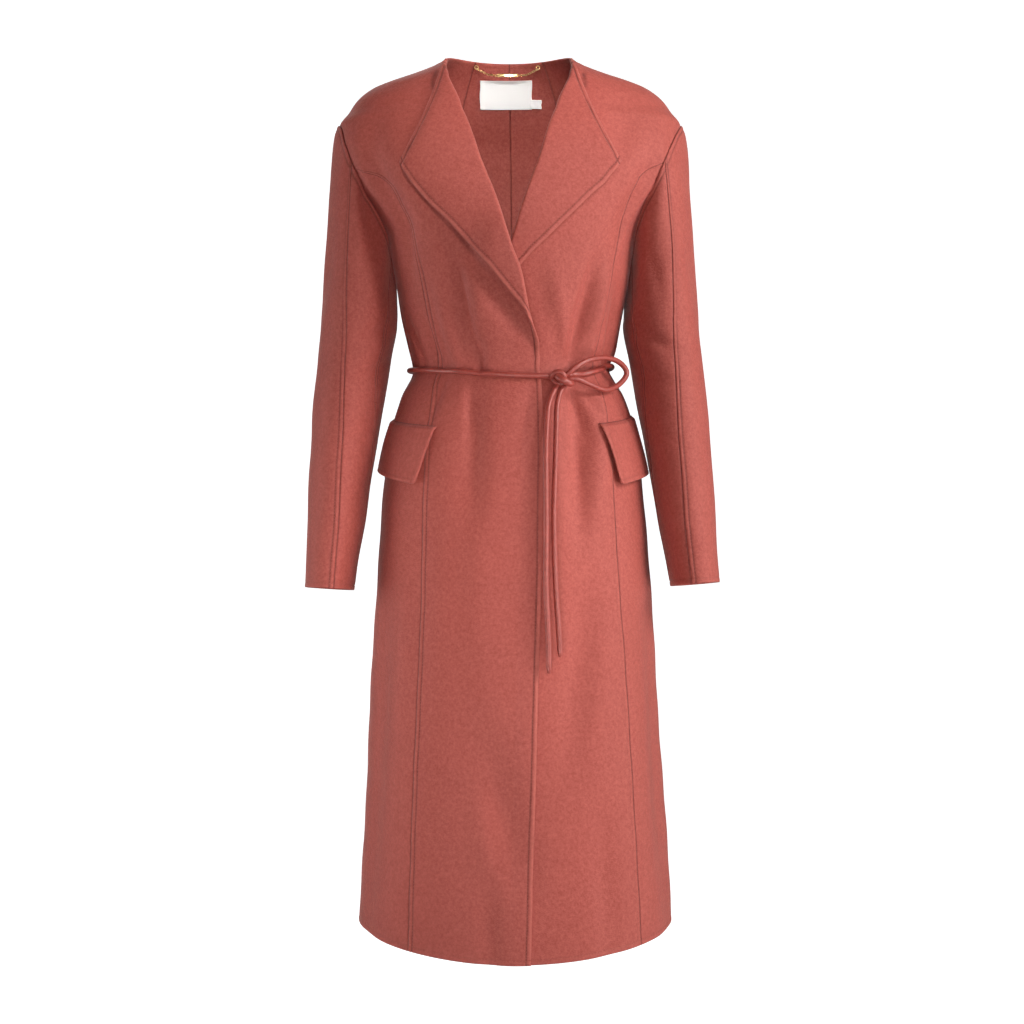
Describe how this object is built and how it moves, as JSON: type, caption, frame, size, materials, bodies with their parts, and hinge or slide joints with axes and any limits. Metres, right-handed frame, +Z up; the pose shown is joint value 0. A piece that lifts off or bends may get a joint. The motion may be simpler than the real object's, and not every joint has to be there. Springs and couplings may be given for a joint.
{
  "type": "wool wrap coat",
  "caption": "Long wool wrap coat, hollow as worn, with wide lapels cut in one with the fronts, dropped shoulders, slanted pocket flaps and a thin round cord belt tied in a bow.",
  "frame": {"origin": "middle of the neck, level with the points where the shoulder seams meet the neck edge, where the wearer's shoulders carry the coat", "axes": "+Z up, -Y the front of the coat, +X the wearer's left"},
  "size_m": [0.5517, 0.3419, 1.1896],
  "materials": {
    "wool": "brushed double-faced wool, matt with a faint nap",
    "belt_cord": "matt rouleau cord",
    "label_ivory": "satin weave",
    "gold": "polished"
  },
  "bodies": {
    "coat": {"back_left": "wool", "back_right": "wool", "side_back_left": "wool", "side_back_right": "wool", "side_front_left": "wool", "side_front_right": "wool", "front_left": "wool", "front_right": "wool", "sleeve_top_left": "wool", "sleeve_top_right": "wool", "sleeve_under_left": "wool", "sleeve_under_right": "wool", "pocket_flap_left": "wool", "pocket_flap_right": "wool", "belt_waist": "belt_cord", "belt_knot": "belt_cord", "belt_loop": "belt_cord", "belt_end_left": "belt_cord", "belt_end_right": "belt_cord", "neck_label": "label_ivory", "size_tab": "label_ivory", "hanger_ring_left": "gold", "hanger_ring_right": "gold"},
    "hanger": {"hanger_bar": "gold", "hanger_chain_left": "gold", "hanger_chain_right": "gold"}
  },
  "joints": [
    {"name": "hanger_swing", "type": "hinge", "parent": "coat", "child": "hanger", "pos_m": [-0.0053, 0.06065, 0.006], "axis": [-0.9997, -0.0247, 0], "range_deg": [0, 180]}
  ]
}
